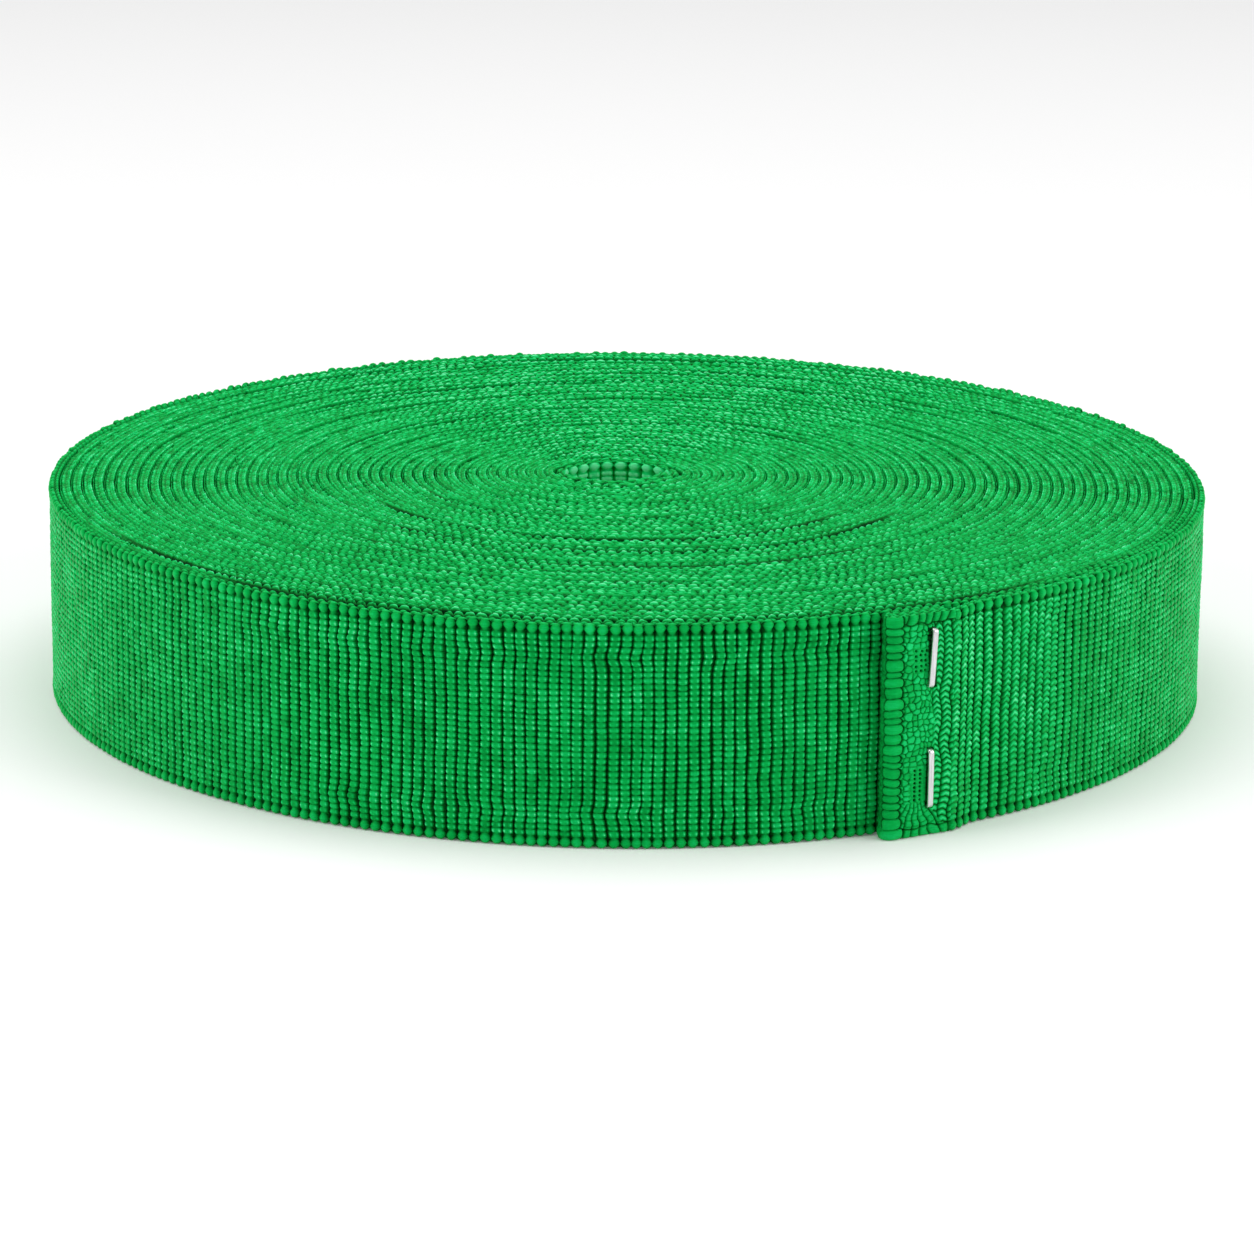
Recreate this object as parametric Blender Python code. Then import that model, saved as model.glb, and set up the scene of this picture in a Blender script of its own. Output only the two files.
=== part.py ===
"""A roll of ribbed elastic band, its end folded under and tacked down with two wire staples.

Metres, +Z up. The roll lies flat on Z = 0. Azimuth 0 is the front, at -Y, and 90 is at +X, so the band
winds inwards anticlockwise seen from above. A place along the band is its wound angle: 0 at the folded
end, growing inwards by a full turn for every turn of the roll.

The wound part is one continuous strip, in four nodes cut across the strip. The free end of the outer
turn is a chain of short stretches, each hinged to the one before, which stand in for the bending cloth.
"""

import math

import bmesh
import bpy
from mathutils import Matrix, Vector

# Driving dimensions
BAND_WIDTH = 0.040
TURN_PITCH = 0.00205
GAP = 0.0003
OUTER_RADIUS = 0.1098
TURNS = 49.2
END_AZIMUTH = 23.93
BASE_AZIMUTH = 82.5
FOLDED_ARC = 6.8
LIFT_ARC = 3.6
TAIL_STRETCHES = 6
STAPLE_SETBACK = 0.0087
STAPLE_SPREAD = 0.0216
STAPLE_RAISE = 0.0012
STAPLE_TILT = 3.4
STAPLE_CROWN = 0.0106
STAPLE_LEG = 0.0080
WIRE_WIDTH = 0.00108
WIRE_THICKNESS = 0.00060

# The eye in the middle is an almond, and its shape fades as the turns grow round.
EYE_TIP = 0.0024
EYE_FLAT = 0.0007
EYE_SHARPNESS = 6
EYE_FADE = 0.025
# The eye is off the roll's centre, and the turns come back to it as far out as this.
EYE_DRIFT = (-0.0024, 0.0028)
EYE_REACH = 0.080

# Steps that a full turn is drawn in. Each count divides the next, so that turns nest without touching.
TURN_STEPS = 24
OUTER_TURN_STEPS = 48
TAIL_STEPS = 5
FOLD_STEPS = 6
CORNER_STEPS = 4

# Sizes that follow
BAND_THICKNESS = TURN_PITCH - GAP
HALF_THICKNESS = BAND_THICKNESS / 2
MID_RADIUS = OUTER_RADIUS - HALF_THICKNESS
TAIL_WOUND = math.radians(BASE_AZIMUTH - END_AZIMUTH)
FOLDED_WOUND = math.radians(FOLDED_ARC)
LIFT_WOUND = math.radians(LIFT_ARC)
STRETCH_WOUND = (TAIL_WOUND - FOLDED_WOUND) / TAIL_STRETCHES
INNER_WOUND = TURNS * math.tau
FOLD_RADIUS = TURN_PITCH / 2
LIFTED_RADIUS = OUTER_RADIUS + TURN_PITCH
STAPLE_WOUND = STAPLE_SETBACK / LIFTED_RADIUS
STAPLE_MIDDLE = BAND_WIDTH / 2 + STAPLE_RAISE
STAPLES = {
    "staple_upper": (STAPLE_MIDDLE + STAPLE_SPREAD / 2, math.radians(-STAPLE_TILT)),
    "staple_lower": (STAPLE_MIDDLE - STAPLE_SPREAD / 2, 0.0),
}
STAPLE_CORNER = 0.0008
LEG_CLEARANCE = 0.0003
SLOT_DRIFT = 0.0014
SLOT_TURNS = 2

# Where the wound strip is cut into nodes, in turns from the base of the tail
OUTER_NODE_TURNS = 4
MIDDLE_NODE_TURNS = 20
INNER_NODE_TURNS = 36

GREEN = (0.004, 0.330, 0.085)
STEEL = (0.72, 0.72, 0.74)


def make_material(name, colour, roughness, metallic):
    material = bpy.data.materials.new(name)
    material.use_nodes = True
    shader = material.node_tree.nodes["Principled BSDF"]
    shader.inputs["Base Color"].default_value = (*colour, 1.0)
    shader.inputs["Roughness"].default_value = roughness
    shader.inputs["Metallic"].default_value = metallic
    return material


def outward(wound):
    """Unit vector from the winding axis at this wound angle."""
    azimuth = math.radians(END_AZIMUTH) + wound
    return Vector((math.sin(azimuth), -math.cos(azimuth), 0.0))


def radius_at(wound, offset):
    """Radius of a point offset outwards from the middle of the strip's thickness."""
    plain = MID_RADIUS - TURN_PITCH * wound / math.tau + offset
    azimuth = math.radians(END_AZIMUTH) + wound
    almond = EYE_TIP * abs(math.sin(azimuth)) ** EYE_SHARPNESS - EYE_FLAT
    return plain + almond * math.exp(-plain / EYE_FADE)


def roll_centre():
    """Puts the middle of the roll's bounding box on the Z axis, though a spiral isn't quite round."""
    front, right, back, left = (
        radius_at(math.radians(quarter - END_AZIMUTH) % math.tau, HALF_THICKNESS)
        for quarter in (0, 90, 180, 270)
    )
    return Vector(((left - right) / 2, (front - back) / 2, 0.0))


CENTRE = roll_centre()


def strip_point(wound, offset):
    radius = radius_at(wound, offset)
    off_centre = max(1.0 - radius / EYE_REACH, 0.0) ** 2
    return CENTRE + Vector((*EYE_DRIFT, 0.0)) * off_centre + outward(wound) * radius


def tail_lift(wound):
    """How far the tail stands off the turn below, where the folded cloth lies under it."""
    along = (wound - FOLDED_WOUND) / LIFT_WOUND
    share = min(max(1.0 - along, 0.0), 1.0)
    return TURN_PITCH * share * share * (3.0 - 2.0 * share)


def add_object(name, mesh, material):
    mesh.materials.append(material)
    obj = bpy.data.objects.new(name, mesh)
    bpy.context.scene.collection.objects.link(obj)
    return obj


def ribbon_mesh(name, inner, outer, height, origin):
    """A strip on edge: the outline between two rows of points, from Z 0 up to height, seen from origin."""
    bm = bmesh.new()
    rings = []
    for low, high in zip(inner, outer):
        corners = ((low, 0.0), (high, 0.0), (high, height), (low, height))
        rings.append([bm.verts.new(point + Vector((0, 0, z)) - origin) for point, z in corners])
    for ring, following in zip(rings, rings[1:]):
        for side in range(4):
            after = (side + 1) % 4
            bm.faces.new((ring[side], ring[after], following[after], following[side]))
    bm.faces.new(rings[0])
    bm.faces.new(reversed(rings[-1]))
    bmesh.ops.recalc_face_normals(bm, faces=bm.faces)
    mesh = bpy.data.meshes.new(name)
    bm.to_mesh(mesh)
    bm.free()
    return mesh


def band_stretch(name, wounds, material, origin=Vector(), lift=lambda wound: 0.0):
    """A stretch of the strip through these wound angles, as its own object placed at origin."""
    inner = [strip_point(w, lift(w) - HALF_THICKNESS) for w in wounds]
    outer = [strip_point(w, lift(w) + HALF_THICKNESS) for w in wounds]
    obj = add_object(name, ribbon_mesh(name, inner, outer, BAND_WIDTH, origin), material)
    obj.location = origin
    return obj


def wound_angles(first_turn, last_turn, steps):
    """Wound angles from one turn to another, counted from the tail's base, on even azimuths."""
    start = TAIL_WOUND + first_turn * math.tau
    stop = min(TAIL_WOUND + last_turn * math.tau, INNER_WOUND)
    step = math.tau / steps
    count = math.floor((stop - start) / step)
    angles = [start + step * i for i in range(count + 1)]
    if stop - angles[-1] > step / 10:
        angles.append(stop)
    # The cut faces of neighbouring nodes keep half the gap each.
    angles[0] += GAP / 2 / radius_at(start, 0.0)
    angles[-1] -= GAP / 2 / radius_at(stop, 0.0)
    return angles


def make_wound_turns(material):
    """The strip from the tail's base in to the eye, in four nodes."""
    cuts = (
        ("band_outer_turns", 0, OUTER_NODE_TURNS, OUTER_TURN_STEPS),
        ("band_middle_turns", OUTER_NODE_TURNS, MIDDLE_NODE_TURNS, TURN_STEPS),
        ("band_inner_turns", MIDDLE_NODE_TURNS, INNER_NODE_TURNS, TURN_STEPS),
        ("band_core_turns", INNER_NODE_TURNS, TURNS, TURN_STEPS),
    )
    return [band_stretch(name, wound_angles(a, b, n), material) for name, a, b, n in cuts]


def make_hinge(name, wound, lift, parent):
    """An empty on a hinge axis, at the strip's outer face, so that opening never pinches the stretches."""
    hinge = bpy.data.objects.new(name, None)
    bpy.context.scene.collection.objects.link(hinge)
    place = strip_point(wound, lift + HALF_THICKNESS)
    hinge.parent = parent
    hinge.location = place - (hinge_place(parent) if parent else Vector())
    return hinge


def hinge_place(hinge):
    """World position of an empty, from its own and its parents' locations."""
    place = Vector()
    while hinge:
        place += hinge.location
        hinge = hinge.parent
    return place


def hang_on(obj, hinge):
    """Makes obj, which is built around the hinge's place, a child of the hinge."""
    obj.parent = hinge
    obj.location = Vector()


def make_tail(material):
    """The free stretches from the tail's base to the folded end. Returns the last hinge."""
    hinge = None
    for number in range(1, TAIL_STRETCHES + 1):
        start = TAIL_WOUND - STRETCH_WOUND * (number - 1)
        stop = start - STRETCH_WOUND
        hinge = make_hinge(f"tail_hinge_{number}", start, tail_lift(start), hinge)
        trim = GAP / 2 / MID_RADIUS
        step = (STRETCH_WOUND - 2 * trim) / TAIL_STEPS
        wounds = [stop + trim + step * i for i in range(TAIL_STEPS + 1)]
        stretch = band_stretch(
            f"tail_stretch_{number}", wounds, material, hinge_place(hinge), tail_lift
        )
        hang_on(stretch, hinge)
    return make_hinge(
        f"tail_hinge_{TAIL_STRETCHES + 1}", FOLDED_WOUND, TURN_PITCH, hinge
    )


def folded_outline():
    """Both faces of the folded end: the outer leaf out to the fold, round it, and back as the flap."""
    trim = GAP / 2 / MID_RADIUS
    fold_wound = (FOLD_RADIUS + HALF_THICKNESS) / LIFTED_RADIUS
    leaf_step = (FOLDED_WOUND - trim - fold_wound) / TAIL_STEPS
    flap_step = (FOLDED_WOUND - 4 * trim - fold_wound) / TAIL_STEPS
    far_face, near_face = [], []
    for i in range(TAIL_STEPS):
        wound = FOLDED_WOUND - trim - leaf_step * i
        far_face.append(strip_point(wound, TURN_PITCH + HALF_THICKNESS))
        near_face.append(strip_point(wound, TURN_PITCH - HALF_THICKNESS))
    for i in range(FOLD_STEPS + 1):
        turned = math.pi * i / FOLD_STEPS
        for face, reach in (
            (far_face, FOLD_RADIUS + HALF_THICKNESS),
            (near_face, FOLD_RADIUS - HALF_THICKNESS),
        ):
            wound = fold_wound - reach * math.sin(turned) / LIFTED_RADIUS
            face.append(strip_point(wound, FOLD_RADIUS + reach * math.cos(turned)))
    for i in range(1, TAIL_STEPS + 1):
        wound = fold_wound + flap_step * i
        far_face.append(strip_point(wound, -HALF_THICKNESS))
        near_face.append(strip_point(wound, HALF_THICKNESS))
    return near_face, far_face


def make_folded_end(hinge, material):
    near_face, far_face = folded_outline()
    place = hinge_place(hinge)
    mesh = ribbon_mesh("folded_end", near_face, far_face, BAND_WIDTH, place)
    obj = add_object("folded_end", mesh, material)
    hang_on(obj, hinge)
    return obj


def staple_frame(height, tilt):
    """Staple axes: X to the band's end, Y out of the roll, Z up, with the origin on the cloth's face."""
    out = outward(STAPLE_WOUND)
    along = Vector((0, 0, 1)).cross(out) * -1.0
    frame = Matrix((along, out, Vector((0, 0, 1)))).transposed().to_4x4()
    frame.translation = strip_point(STAPLE_WOUND, TURN_PITCH + HALF_THICKNESS)
    frame.translation.z = height
    return frame @ Matrix.Rotation(tilt, 4, "Y")


def staple_path(reach):
    """The wire's middle line in the staple's Y and Z, offset outwards by reach, to a chisel point."""
    half_crown = (STAPLE_CROWN - WIRE_THICKNESS) / 2
    crown_y = GAP / 2 + WIRE_THICKNESS / 2
    tip_y = crown_y + WIRE_THICKNESS / 2 - STAPLE_LEG
    bend = STAPLE_CORNER - WIRE_THICKNESS / 2
    tip_y -= reach
    points = [(tip_y, half_crown + reach)]
    for side, first in ((1, 90), (-1, 0)):
        for i in range(CORNER_STEPS + 1):
            angle = math.radians(first - 90 * i / CORNER_STEPS)
            y = crown_y - bend + (bend + reach) * math.cos(angle)
            z = side * (half_crown - bend) + (bend + reach) * math.sin(angle)
            points.append((y, z))
    points.append((tip_y, -half_crown - reach))
    return points


def make_staple_mesh():
    """A flat-wire staple, bent to a U, its legs cut to chisel points."""
    bm = bmesh.new()
    half = WIRE_THICKNESS / 2
    rings = []
    for (near_y, near_z), (far_y, far_z) in zip(staple_path(-half), staple_path(half)):
        corners = (
            (-WIRE_WIDTH / 2, near_y, near_z),
            (WIRE_WIDTH / 2, near_y, near_z),
            (WIRE_WIDTH / 2, far_y, far_z),
            (-WIRE_WIDTH / 2, far_y, far_z),
        )
        rings.append([bm.verts.new(corner) for corner in corners])
    for ring, following in zip(rings, rings[1:]):
        for side in range(4):
            after = (side + 1) % 4
            bm.faces.new((ring[side], ring[after], following[after], following[side]))
    bm.faces.new(rings[0])
    bm.faces.new(reversed(rings[-1]))
    bmesh.ops.recalc_face_normals(bm, faces=bm.faces)
    mesh = bpy.data.meshes.new("staple")
    bm.to_mesh(mesh)
    bm.free()
    return mesh


def make_staples(hinge, material):
    mesh = make_staple_mesh()
    mesh.materials.append(material)
    place = hinge_place(hinge)
    for name, (height, tilt) in STAPLES.items():
        staple = bpy.data.objects.new(name, mesh)
        bpy.context.scene.collection.objects.link(staple)
        frame = staple_frame(height, tilt)
        frame.translation -= place
        staple.parent = hinge
        staple.matrix_local = frame


def add_leg_cutter(name, size, offset):
    """One cutter for the four legs: four boxes, placed in the staples' own frames."""
    bm = bmesh.new()
    leg_z = (STAPLE_CROWN - WIRE_THICKNESS) / 2
    for height, tilt in STAPLES.values():
        for side in (-leg_z, leg_z):
            place = staple_frame(height, tilt) @ Matrix.Translation(offset + Vector((0, 0, side)))
            bmesh.ops.create_cube(bm, size=1.0, matrix=place @ Matrix.Diagonal((*size, 1.0)))
    mesh = bpy.data.meshes.new(name)
    bm.to_mesh(mesh)
    bm.free()
    cutter = bpy.data.objects.new(name, mesh)
    bpy.context.scene.collection.objects.link(cutter)
    cutter.hide_render = True
    cutter.display_type = "WIRE"
    return cutter


def cut(obj, cutter):
    modifier = obj.modifiers.new("leg_holes", "BOOLEAN")
    modifier.operation = "DIFFERENCE"
    modifier.object = cutter


def cut_leg_holes(folded_end, outer_turns):
    """Close holes through the folded end, and slits in the turns below, long enough to peel out of."""
    width = WIRE_WIDTH + 2 * LEG_CLEARANCE
    height = WIRE_THICKNESS + 2 * LEG_CLEARANCE
    folded_depth = 2 * TURN_PITCH
    hole_depth = folded_depth + 2 * GAP
    hole = add_leg_cutter(
        "leg_hole_cutter",
        Vector((width, hole_depth, height)),
        Vector((0, GAP - hole_depth / 2, 0)),
    )
    cut(folded_end, hole)
    slot_top = -folded_depth + GAP / 2
    slot_depth = SLOT_TURNS * TURN_PITCH
    slot = add_leg_cutter(
        "leg_slot_cutter",
        Vector((width + SLOT_DRIFT, slot_depth, height)),
        Vector((-SLOT_DRIFT / 2, slot_top - slot_depth / 2, 0)),
    )
    cut(outer_turns, slot)


def build():
    for obj in list(bpy.data.objects):
        bpy.data.objects.remove(obj)
    green = make_material("green_elastic", GREEN, 0.62, 0.0)
    steel = make_material("staple_steel", STEEL, 0.28, 1.0)
    turns = make_wound_turns(green)
    last_hinge = make_tail(green)
    folded_end = make_folded_end(last_hinge, green)
    make_staples(last_hinge, steel)
    cut_leg_holes(folded_end, turns[0])


build()
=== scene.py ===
"""Looks for the roll of ribbed elastic band: every rib, bead and turn of the cloth, and its two staples.

Metres, +Z up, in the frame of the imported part. A place along the band is its wound angle, in radians: 0 at
the folded end, growing inwards by a full turn for every turn of the roll. q runs across the cloth's
thickness, from -1 on the face towards the eye to 1 on the outer face.
"""

import math

import bpy
import numpy as np
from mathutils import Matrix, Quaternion, Vector


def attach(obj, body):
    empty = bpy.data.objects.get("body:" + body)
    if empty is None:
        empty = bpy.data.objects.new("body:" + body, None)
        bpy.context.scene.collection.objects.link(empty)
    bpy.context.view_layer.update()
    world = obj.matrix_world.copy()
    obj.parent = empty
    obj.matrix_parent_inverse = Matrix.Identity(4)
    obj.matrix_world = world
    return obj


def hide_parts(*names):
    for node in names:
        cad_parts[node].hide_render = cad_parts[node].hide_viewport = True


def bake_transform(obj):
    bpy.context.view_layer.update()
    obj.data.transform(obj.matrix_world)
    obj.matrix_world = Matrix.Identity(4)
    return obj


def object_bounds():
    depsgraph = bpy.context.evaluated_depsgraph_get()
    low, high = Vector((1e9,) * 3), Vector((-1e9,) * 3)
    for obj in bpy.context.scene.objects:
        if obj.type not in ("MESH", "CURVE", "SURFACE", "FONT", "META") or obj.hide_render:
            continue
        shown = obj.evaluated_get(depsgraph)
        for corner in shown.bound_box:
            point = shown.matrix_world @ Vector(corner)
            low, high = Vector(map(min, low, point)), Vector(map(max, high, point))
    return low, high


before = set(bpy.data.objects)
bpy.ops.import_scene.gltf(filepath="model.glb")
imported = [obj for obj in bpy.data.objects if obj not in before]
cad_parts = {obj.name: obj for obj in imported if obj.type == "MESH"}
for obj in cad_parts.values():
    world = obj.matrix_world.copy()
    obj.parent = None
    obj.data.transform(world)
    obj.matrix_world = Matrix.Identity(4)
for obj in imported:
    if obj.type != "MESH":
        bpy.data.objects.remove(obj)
CAD_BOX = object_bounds()

MM = 0.001

# The roll, as the part has it. Azimuth 0 is the front, at -Y, and 90 is at +X.
BAND_WIDTH = CAD_BOX[1].z
TURN_PITCH = 2.05 * MM
GAP = 0.3 * MM
OUTER_RADIUS = 109.8 * MM
TURNS = 49.2
# The free end runs from its base to the band's end. It rises over the lift, and then comes the folded end.
END_AZIMUTH = math.radians(23.93)
BASE_AZIMUTH = math.radians(82.5)
FOLDED_WOUND = math.radians(6.8)
LIFT_WOUND = math.radians(3.6)
TAIL_STRETCHES = 6
STAPLE_SETBACK = 8.7 * MM
STAPLE_HEIGHTS = {"staple_upper": 32.0 * MM, "staple_lower": 10.4 * MM}
STAPLE_TILTS = {"staple_upper": math.radians(-3.4), "staple_lower": 0.0}
STAPLE_CROWN = 10.6 * MM
STAPLE_LEG = 8.0 * MM
STAPLE_CORNER = 0.8 * MM
WIRE_WIDTH = 1.08 * MM
WIRE_THICKNESS = 0.6 * MM
# The eye is an almond: its tips reach out, its sides are drawn in, and the shape fades as the turns grow.
EYE_TIP = 2.4 * MM
EYE_FLAT = 0.7 * MM
EYE_SHARPNESS = 6
EYE_FADE = 25 * MM
# The eye stands off the roll's centre by the drift, and the turns beyond the reach are true to the centre.
EYE_DRIFT = np.array([-2.4, 2.8]) * MM
EYE_REACH = 80 * MM

CAD_HALF = (TURN_PITCH - GAP) / 2
MID_RADIUS = OUTER_RADIUS - CAD_HALF
TAIL_WOUND = BASE_AZIMUTH - END_AZIMUTH
INNER_WOUND = TURNS * math.tau
LIFTED_RADIUS = OUTER_RADIUS + TURN_PITCH
STAPLE_WOUND = STAPLE_SETBACK / LIFTED_RADIUS

# The weave
RIB_PITCH = 2.0 * MM
HALF_THICKNESS = 0.97 * MM
RIB_DEPTH = 0.62 * MM
BEADS = 33
KNOB = 2.0 * MM
BEAD_PITCH = (BAND_WIDTH - 2 * KNOB) / BEADS
BEAD_DEPTH = 0.34 * MM
# Where the columns of points stand across a rib, and the rows up a bead
RIB_PHASES = (0.0, 0.05, 0.12, 0.22, 0.34, 0.50, 0.66, 0.78, 0.88, 0.95)
BEAD_PHASES = (0.0, 0.2, 0.5, 0.8)
# The columns of the turns whose faces are hidden
PLAIN_PHASES = (0.0, 0.12, 0.30, 0.50, 0.70, 0.88)
# Each bead's two bumps: how far from the rib's middle they stand, and how wide they are, as shares of a rib
TWIN_SPREAD = 0.26
TWIN_WIDTH = 0.17
# The first ribs from the folded end are braided, and the braid is weaker low down.
BRAIDED_RIBS = 9
BRAID_HEIGHTS = (8 * MM, 15 * MM)
# The innermost turns are looser, so their ribs are plumper.
EYE_RIB_PITCH = 3.0 * MM
EYE_TURNS = 1.25
# A row of beads this far either side of the middle is pushed aside along the band.
PUSHED_ROW = 14 * MM

# Noise: how many cells a table holds before it repeats, and the width of the border between two cells
NOISE_CELLS = 256
JITTERED_CELLS = 128
CELL_BORDER = 0.42

# Noise seeds: of the band's outer face, of the eye's turns, and what the inner face adds to them
BAND_SEED = 100
EYE_SEED = 300
INNER_FACE_SEED = 50

# How many pieces the turns are cut into, so that each exports whole
OUTER_PIECES = 6
WOUND_PIECES = 10


# ---------------- noise


def lattice_noise(x, y, seed):
    """Smooth noise in -1 to 1, which repeats after NOISE_CELLS cells each way."""
    table = np.random.default_rng(seed).uniform(-1.0, 1.0, (NOISE_CELLS, NOISE_CELLS))
    x, y = np.broadcast_arrays(np.asarray(x, float), np.asarray(y, float))
    i, j = np.floor(x).astype(int), np.floor(y).astype(int)
    u, v = x - i, y - j
    u, v = u * u * (3 - 2 * u), v * v * (3 - 2 * v)
    i0, i1 = i % NOISE_CELLS, (i + 1) % NOISE_CELLS
    j0, j1 = j % NOISE_CELLS, (j + 1) % NOISE_CELLS
    low = table[i0, j0] * (1 - u) + table[i1, j0] * u
    high = table[i0, j1] * (1 - u) + table[i1, j1] * u
    return low * (1 - v) + high * v


def cell_noise(x, y, seed):
    """0 on the borders between a jittered grid's cells, rising to 1 inside each, and each cell's tone."""
    rng = np.random.default_rng(seed)
    jitter = rng.uniform(0.14, 0.86, (JITTERED_CELLS, JITTERED_CELLS, 2))
    tones = rng.uniform(-1.0, 1.0, (JITTERED_CELLS, JITTERED_CELLS))
    i, j = np.floor(x).astype(int), np.floor(y).astype(int)
    first = np.full(x.shape, np.inf)
    second = np.full(x.shape, np.inf)
    tone = np.zeros(x.shape)
    for a in (-1, 0, 1):
        for b in (-1, 0, 1):
            ci, cj = (i + a) % JITTERED_CELLS, (j + b) % JITTERED_CELLS
            away = np.hypot(i + a + jitter[ci, cj, 0] - x, j + b + jitter[ci, cj, 1] - y)
            nearer = away < first
            second = np.where(nearer, first, np.minimum(second, away))
            tone = np.where(nearer, tones[ci, cj], tone)
            first = np.where(nearer, away, first)
    return np.clip((second - first) / CELL_BORDER, 0, 1), tone


def smooth_step(low, high, x):
    """0 up to low and 1 from high on, with a smooth rise between them."""
    t = np.clip((x - low) / (high - low), 0, 1)
    return t * t * (3 - 2 * t)


def bell(x, middle, width, power=2):
    """1 in the middle, falling away either side of it."""
    return np.exp(-(((x - middle) / width) ** power))


def rounded(distance, reach):
    """A quarter circle: 0 at no distance, rising steeply to 1 at the reach."""
    return np.sqrt(1 - (1 - np.clip(distance / reach, 0, 1)) ** 2)


def mixed(under, over, cover):
    """Under where the cover is 0, over where it is 1, and a blend between."""
    return under * (1 - cover) + over * cover


# ---------------- the winding


def plain_radius(wound):
    """Radius of the cloth's middle on the spiral without its eye."""
    return MID_RADIUS - TURN_PITCH * wound / math.tau


def winding_radius(wound, offset):
    """Radius of a layer of the cloth, offset outwards from its middle, with the eye's almond."""
    plain = plain_radius(wound) + offset
    azimuth = END_AZIMUTH + wound
    almond = EYE_TIP * np.abs(np.sin(azimuth)) ** EYE_SHARPNESS - EYE_FLAT
    return plain + almond * np.exp(-plain / EYE_FADE)


def roll_centre():
    """Where the spiral's centre stands, for the roll's sides to be as far out on the left as on the right."""
    front, right, back, left = (
        float(winding_radius((math.radians(quarter) - END_AZIMUTH) % math.tau, CAD_HALF))
        for quarter in (0, 90, 180, 270)
    )
    return np.array([(left - right) / 2, (front - back) / 2])


CENTRE = roll_centre()


def outward(wound):
    """Unit vector out of the roll, in plan."""
    azimuth = END_AZIMUTH + np.asarray(wound, float)
    return np.stack([np.sin(azimuth), -np.cos(azimuth)], -1)


def winding_point(wound, offset):
    """A layer's point in plan."""
    radius = np.asarray(winding_radius(wound, offset))[..., None]
    off_centre = np.clip(1.0 - radius / EYE_REACH, 0, 1) ** 2
    return CENTRE + EYE_DRIFT * off_centre + outward(wound) * radius


def tail_lift(wound):
    """How far the free end rises to lie over its own folded flap."""
    share = np.clip(1.0 - (wound - FOLDED_WOUND) / LIFT_WOUND, 0, 1)
    return TURN_PITCH * share * share * (3.0 - 2.0 * share)


def length_at(wound):
    """Length of the cloth's middle, from the folded end to this place."""
    return MID_RADIUS * wound - TURN_PITCH * wound**2 / (2 * math.tau)


def wound_at(length):
    """The place that lies this length along the cloth: length_at the other way round."""
    root = np.sqrt(MID_RADIUS**2 - length * TURN_PITCH / math.pi)
    return (MID_RADIUS - root) * math.tau / TURN_PITCH


# Ribs are counted from the hinge of the folded end.
FIRST_GROOVE = length_at(FOLDED_WOUND)


def rib_nearest(wound):
    return int(round((length_at(wound) - FIRST_GROOVE) / RIB_PITCH))


def rib_columns(first, last, phases, pitch=RIB_PITCH):
    """For ribs first to last: each column's rib, its phase across the rib, and its length along the band."""
    ribs = np.repeat(np.arange(first, last), len(phases))
    phase = np.tile(np.array(phases), last - first)
    ribs, phase = np.append(ribs, last), np.append(phase, 0.0)
    drift = 0.16 * lattice_noise(ribs * 0.31, 7.0, 11)
    drift = np.where((ribs == first) & (phase == 0) | (ribs == last), 0.0, drift)
    squeeze = 1.02 - 0.07 * lattice_noise(ribs * 0.83, 3.0, 12)
    across = 0.5 + (phase - 0.5) * np.where(phase > 0, squeeze, 1.0)
    length = FIRST_GROOVE + (ribs + across + np.where(phase > 0, drift, 0.0)) * pitch
    return ribs, phase, length


# ---------------- meshes


def grid_mesh(name, rings, shade, cloth):
    """A closed tube through rings of points, capped at both ends, with its shade and cloth attributes."""
    count, around = rings.shape[:2]
    index = np.arange(count * around).reshape(count, around)
    near, far = index[:-1], index[1:]
    quads = np.stack([near, np.roll(near, -1, 1), np.roll(far, -1, 1), far], -1).reshape(-1, 4)
    caps = [index[0][::-1], index[-1]]
    points = rings.reshape(-1, 3)
    a, b, c, d = (points[quads[:, i]] for i in range(4))
    volume = np.einsum("ij,ij->i", a, np.cross(b - a, c - a) + np.cross(c - a, d - a))
    if volume.sum() < 0:
        quads = quads[:, ::-1]
        caps = [cap[::-1] for cap in caps]
    corners = np.concatenate([quads.ravel(), *caps]).astype(np.int32)
    starts = np.append(np.arange(len(quads)), [len(quads), len(quads)]) * 4
    starts[-1] += around
    mesh = bpy.data.meshes.new(name)
    mesh.vertices.add(len(points))
    mesh.vertices.foreach_set("co", points.astype(np.float32).ravel())
    mesh.loops.add(len(corners))
    mesh.loops.foreach_set("vertex_index", corners)
    mesh.polygons.add(len(starts))
    mesh.polygons.foreach_set("loop_start", starts.astype(np.int32))
    mesh.update(calc_edges=True)
    mesh.validate()
    # The caps meet the cloth at a sharp edge, so that the join with the next piece doesn't show.
    edges = np.empty(len(mesh.edges) * 2, np.int32)
    mesh.edges.foreach_get("vertices", edges)
    edges = edges.reshape(-1, 2)
    rim = (edges < around).all(1) | (edges >= (count - 1) * around).all(1)
    mesh.attributes.new("sharp_edge", "BOOLEAN", "EDGE").data.foreach_set("value", rim)
    shades = mesh.attributes.new("shade", "FLOAT", "POINT").data
    shades.foreach_set("value", shade.astype(np.float32).ravel())
    cloths = mesh.attributes.new("cloth", "FLOAT_VECTOR", "POINT").data
    cloths.foreach_set("vector", cloth.astype(np.float32).ravel())
    return mesh


def add_piece(name, mesh, material):
    mesh.materials.append(material)
    obj = bpy.data.objects.new(name, mesh)
    bpy.context.scene.collection.objects.link(obj)
    return obj


def cloth_of(length, heights):
    """The cloth attribute: for every point its length along the band and its height."""
    length, heights = np.broadcast_arrays(length, heights)
    return np.stack([length, heights, np.zeros_like(heights)], -1)


# ---------------- the beaded face


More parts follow.
